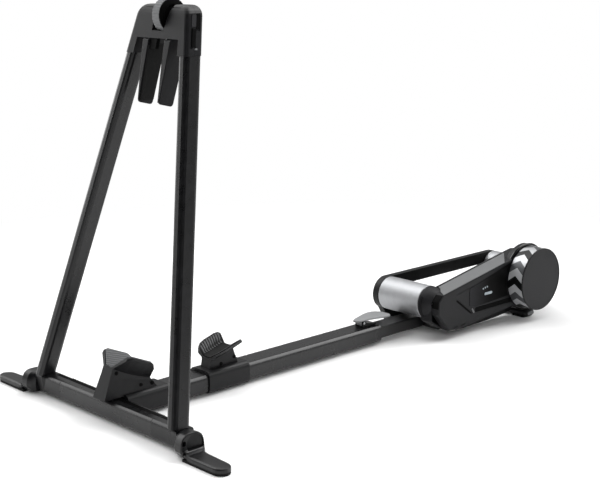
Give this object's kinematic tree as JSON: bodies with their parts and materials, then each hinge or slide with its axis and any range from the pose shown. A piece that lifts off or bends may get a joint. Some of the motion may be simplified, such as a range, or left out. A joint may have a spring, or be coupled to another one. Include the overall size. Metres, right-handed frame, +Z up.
{
  "type": "wheel-on smart trainer",
  "caption": "Folding bicycle trainer: a leaning A-frame grips the front wheel, a telescopic beam with wheel cradles joins a belt-driven roller unit with a side flywheel under the rear wheel.",
  "frame": {"origin": "middle of the bounding box at floor level", "axes": "+X towards the rear of the bicycle, +Y to the rider's right, +Z up"},
  "size_m": [1.3985, 0.7578, 0.8327],
  "materials": {
    "charcoal_powder_coat": "satin charcoal powder coat on steel",
    "coated_aluminium": "satin charcoal powder coat on cast aluminium",
    "black_coated_aluminium": "satin black powder coat on cast aluminium",
    "black_powder_coat": "satin black powder coat on steel",
    "charcoal_moulded_plastic": "fine-textured moulded nylon",
    "black_plastic": "moulded black plastic",
    "grey_plastic": "moulded mid-grey plastic",
    "light_grey_plastic": "satin light-grey plastic",
    "black_rubber": "matt moulded rubber",
    "satin_aluminium": "turned satin aluminium",
    "bright_steel": "turned bright steel",
    "copper_winding": "varnished copper wire",
    "circuit_board": "green solder mask",
    "clear_lens": "clear moulded lens"
  },
  "bodies": {
    "stand_base": {"front_crossbar": "charcoal_powder_coat", "pivot_axle_left": "bright_steel", "pivot_axle_right": "bright_steel", "foot_casting_left": "coated_aluminium", "foot_casting_right": "coated_aluminium", "foot_sole_left": "black_rubber", "foot_sole_right": "black_rubber", "main_beam": "charcoal_powder_coat", "front_cradle": "charcoal_moulded_plastic", "front_cradle_tread": "black_rubber", "beam_end_bush": "black_plastic", "lever_bracket": "black_plastic", "lever_pin": "bright_steel", "beam_lock_pin": "bright_steel"},
    "a_frame": {"leg_knuckle_left": "coated_aluminium", "leg_knuckle_right": "coated_aluminium", "leg_left": "charcoal_powder_coat", "leg_right": "charcoal_powder_coat", "head_front": "charcoal_moulded_plastic", "head_rear": "charcoal_moulded_plastic"},
    "clamp_screw": {"thumb_wheel": "grey_plastic", "clamp_spindle": "bright_steel"},
    "paddle_left": {"clamp_paddle_left": "charcoal_moulded_plastic", "paddle_pad_left": "black_rubber"},
    "paddle_right": {"clamp_paddle_right": "charcoal_moulded_plastic", "paddle_pad_right": "black_rubber"},
    "cradle_slider": {"sliding_cradle": "charcoal_moulded_plastic", "sliding_cradle_tread": "black_rubber"},
    "lever": {"foot_lever": "light_grey_plastic"},
    "button_left": {"fold_button_left": "black_plastic"},
    "button_right": {"fold_button_right": "black_plastic"},
    "roller_unit": {"inner_beam": "black_powder_coat", "chassis_crossmember": "black_powder_coat", "chassis_spine": "black_powder_coat", "rear_foot": "black_plastic", "rear_foot_sole_left": "black_rubber", "rear_foot_sole_right": "black_rubber", "far_arm": "black_coated_aluminium", "front_axle": "bright_steel", "front_bearing_left": "bright_steel", "front_bearing_right": "bright_steel", "rear_bearing_right": "bright_steel", "housing_inner": "charcoal_moulded_plastic", "housing_cover": "charcoal_moulded_plastic", "housing_top_trim": "light_grey_plastic", "flywheel_guard": "black_plastic", "brake_coil": "copper_winding", "drive_belt": "black_rubber", "circuit_board": "circuit_board", "status_panel": "black_plastic", "status_lens": "clear_lens", "power_inlet": "bright_steel"},
    "roller_front": {"front_roller": "satin_aluminium"},
    "roller_rear": {"rear_roller": "satin_aluminium", "rear_roller_shaft": "bright_steel", "roller_pulley": "bright_steel"},
    "flywheel_set": {"flywheel": "bright_steel", "flywheel_face": "charcoal_moulded_plastic", "flywheel_shaft": "bright_steel", "flywheel_pulley": "bright_steel"}
  },
  "joints": [
    {"name": "a_frame_fold", "type": "hinge", "parent": "stand_base", "child": "a_frame", "pos_m": [-0.6595, 0, 0.0268], "axis": [0, 1, 0], "range_deg": [0, 68]},
    {"name": "clamp_screw_turn", "type": "hinge", "parent": "a_frame", "child": "clamp_screw", "pos_m": [-0.4906, 0, 0.7975], "axis": [0, 1, 0], "range_deg": [-270, 225]},
    {"name": "paddle_left_slide", "type": "slide", "parent": "a_frame", "child": "paddle_left", "axis": [0, -1, 0], "range_m": [-0.012, 0.01]},
    {"name": "paddle_right_slide", "type": "slide", "parent": "a_frame", "child": "paddle_right", "axis": [0, 1, 0], "range_m": [-0.012, 0.01]},
    {"name": "cradle_slide", "type": "slide", "parent": "stand_base", "child": "cradle_slider", "axis": [1, 0, 0], "range_m": [-0.04, 0.08]},
    {"name": "beam_extension", "type": "slide", "parent": "stand_base", "child": "roller_unit", "axis": [1, 0, 0], "range_m": [-0.02, 0.18]},
    {"name": "foot_lever_hinge", "type": "hinge", "parent": "stand_base", "child": "lever", "pos_m": [0.0685, 0, 0.0575], "axis": [0, -1, 0], "range_deg": [0, 35]},
    {"name": "fold_button_left_slide", "type": "slide", "parent": "stand_base", "child": "button_left", "axis": [0, 1, 0], "range_m": [0, 0.004], "stiffness_N_per_m": 400},
    {"name": "fold_button_right_slide", "type": "slide", "parent": "stand_base", "child": "button_right", "axis": [0, -1, 0], "range_m": [0, 0.004], "stiffness_N_per_m": 400},
    {"name": "front_roller_spin", "type": "hinge", "parent": "roller_unit", "child": "roller_front", "pos_m": [0.2405, 0, 0.088], "axis": [0, 1, 0], "continuous": true},
    {"name": "flywheel_spin", "type": "hinge", "parent": "roller_unit", "child": "flywheel_set", "pos_m": [0.5635, -0.12, 0.107], "axis": [0, 1, 0], "continuous": true},
    {"name": "rear_roller_spin", "type": "hinge", "parent": "roller_unit", "child": "roller_rear", "pos_m": [0.6585, 0, 0.088], "axis": [0, 1, 0], "continuous": true}
  ],
  "couplings": [
    {"joint": "paddle_left_slide", "follows": "clamp_screw_turn", "m_per_rad": 0.002546},
    {"joint": "paddle_right_slide", "follows": "clamp_screw_turn", "m_per_rad": 0.002546},
    {"joint": "rear_roller_spin", "follows": "flywheel_spin", "ratio": 0.41667}
  ]
}
